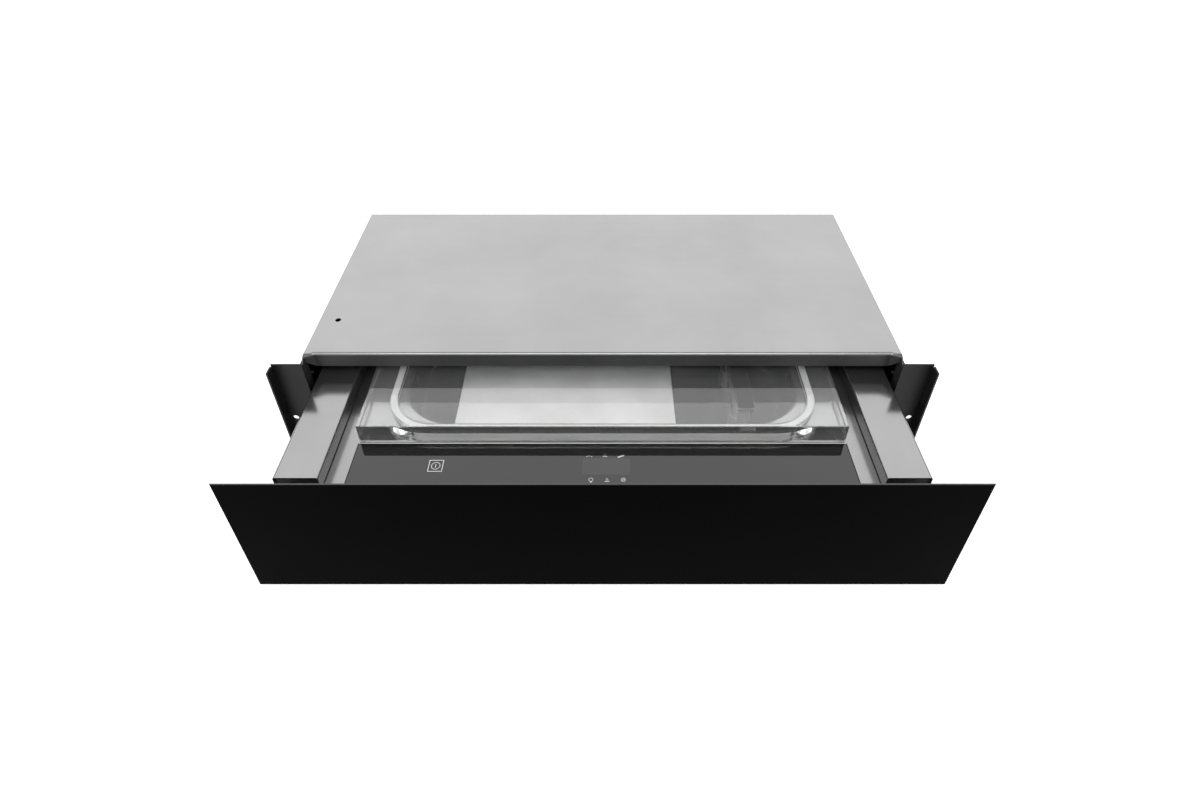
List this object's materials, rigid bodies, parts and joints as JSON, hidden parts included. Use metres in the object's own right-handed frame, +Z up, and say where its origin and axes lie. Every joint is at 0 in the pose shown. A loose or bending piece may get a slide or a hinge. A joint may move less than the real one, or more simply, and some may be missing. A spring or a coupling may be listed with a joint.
{
  "type": "vacuum sealing drawer",
  "caption": "Built-in vacuum sealing drawer, part open: steel housing, black glass front, clear hinged lid over a vacuum chamber, touch panel, telescopic slides.",
  "frame": {"origin": "middle of the housing's footprint, on the niche floor it stands on", "axes": "+X to the right seen from the front, +Y towards the back of the cabinet, +Z up; the drawer opens towards -Y"},
  "size_m": [0.598, 0.413, 0.1385],
  "materials": {
    "black_glass": "black-backed tempered glass, polished",
    "clear_lid": "thick clear slab with polished edges",
    "housing_steel": "mill-finish stainless sheet, satin",
    "satin_steel": "bright satin stainless",
    "galvanised_steel": "galvanised sheet",
    "zinc_steel": "bright zinc plate",
    "black_metal": "black powder coat, satin",
    "black_plastic": "fine-grained black moulding",
    "black_rubber": "matt black",
    "grey_silicone": "dark grey silicone",
    "clear_silicone": "pale translucent silicone",
    "white_plastic": "white, smooth",
    "circuit_board": "green solder mask",
    "aluminium": "natural, machined",
    "heater": "heater wire under a woven release tape",
    "motor_paint": "dark grey paint",
    "core_iron": "varnished laminations",
    "copper_winding": "enamelled winding under tape"
  },
  "bodies": {
    "housing": {"housing_base": "housing_steel", "housing_top": "housing_steel", "housing_back": "housing_steel", "cable_gland": "black_plastic", "rear_bumpers": "black_rubber", "mounting_flange_left": "black_metal", "mounting_flange_right": "black_metal", "flange_fixings": "zinc_steel", "housing_screws": "zinc_steel", "slide_outer_left": "zinc_steel", "slide_outer_right": "zinc_steel"},
    "middle_slide_left": {"slide_middle_left": "zinc_steel"},
    "middle_slide_right": {"slide_middle_right": "zinc_steel"},
    "outer_cage_left": {"slide_cage_outer_left": "zinc_steel"},
    "outer_cage_right": {"slide_cage_outer_right": "zinc_steel"},
    "inner_cage_left": {"slide_cage_inner_left": "zinc_steel"},
    "inner_cage_right": {"slide_cage_inner_right": "zinc_steel"},
    "lid": {"lid_slab": "clear_lid", "lid_gasket": "clear_silicone", "counter_bar": "grey_silicone", "hinge_leaf_left": "zinc_steel", "hinge_leaf_right": "zinc_steel", "leaf_fixings": "zinc_steel"},
    "sealing_bar": {"lift_rods": "zinc_steel", "seal_bar": "aluminium", "heating_strip": "heater"},
    "fan": {"motor_shaft": "zinc_steel", "fan_rotor": "black_plastic"},
    "drawer": {"board_screws": "zinc_steel", "bracket_screws": "zinc_steel", "chamber_basin": "satin_steel", "control_board": "circuit_board", "control_frame": "black_plastic", "control_glass": "black_glass", "deck_plate": "satin_steel", "drawer_tray": "galvanised_steel", "front_carrier": "black_metal", "front_glass": "black_glass", "hinge_bracket_left": "zinc_steel", "hinge_bracket_right": "zinc_steel", "hinge_pins": "zinc_steel", "insert_plate": "white_plastic", "lift_cylinders": "aluminium", "power_board": "circuit_board", "pump_cradle": "zinc_steel", "pump_head": "aluminium", "pump_motor": "motor_paint", "pump_mounts": "black_rubber", "rail_cap_left": "black_plastic", "rail_cap_right": "black_plastic", "rail_cover_left": "satin_steel", "rail_cover_right": "satin_steel", "slide_inner_left": "zinc_steel", "slide_inner_right": "zinc_steel", "suction_fitting": "black_plastic", "suction_hose": "black_rubber", "transformer_coil": "copper_winding", "transformer_core": "core_iron", "vent_valve": "black_plastic"}
  },
  "joints": [
    {"name": "drawer_slide", "type": "slide", "parent": "housing", "child": "drawer", "axis": [0, -1, 0], "range_m": [-0.114, 0.116]},
    {"name": "middle_slide_left", "type": "slide", "parent": "housing", "child": "middle_slide_left", "axis": [0, -1, 0], "range_m": [-0.057, 0.058]},
    {"name": "outer_cage_slide_left", "type": "slide", "parent": "housing", "child": "outer_cage_left", "axis": [0, -1, 0], "range_m": [-0.0285, 0.029]},
    {"name": "inner_cage_slide_left", "type": "slide", "parent": "housing", "child": "inner_cage_left", "axis": [0, -1, 0], "range_m": [-0.0855, 0.087]},
    {"name": "middle_slide_right", "type": "slide", "parent": "housing", "child": "middle_slide_right", "axis": [0, -1, 0], "range_m": [-0.057, 0.058]},
    {"name": "outer_cage_slide_right", "type": "slide", "parent": "housing", "child": "outer_cage_right", "axis": [0, -1, 0], "range_m": [-0.0285, 0.029]},
    {"name": "inner_cage_slide_right", "type": "slide", "parent": "housing", "child": "inner_cage_right", "axis": [0, -1, 0], "range_m": [-0.0855, 0.087]},
    {"name": "lid_hinge", "type": "hinge", "parent": "drawer", "child": "lid", "pos_m": [0, -0.0045, 0.106], "axis": [-1, 0, 0], "range_deg": [0, 2]},
    {"name": "seal_bar_lift", "type": "slide", "parent": "drawer", "child": "sealing_bar", "axis": [0, 0, 1], "range_m": [0, 0.0048]},
    {"name": "motor_fan", "type": "hinge", "parent": "drawer", "child": "fan", "pos_m": [0.225, -0.04, 0.052], "axis": [0, 1, 0], "continuous": true}
  ],
  "couplings": [
    {"joint": "middle_slide_left", "follows": "drawer_slide", "ratio": 0.5},
    {"joint": "outer_cage_slide_left", "follows": "drawer_slide", "ratio": 0.25},
    {"joint": "inner_cage_slide_left", "follows": "drawer_slide", "ratio": 0.75},
    {"joint": "middle_slide_right", "follows": "drawer_slide", "ratio": 0.5},
    {"joint": "outer_cage_slide_right", "follows": "drawer_slide", "ratio": 0.25},
    {"joint": "inner_cage_slide_right", "follows": "drawer_slide", "ratio": 0.75}
  ]
}
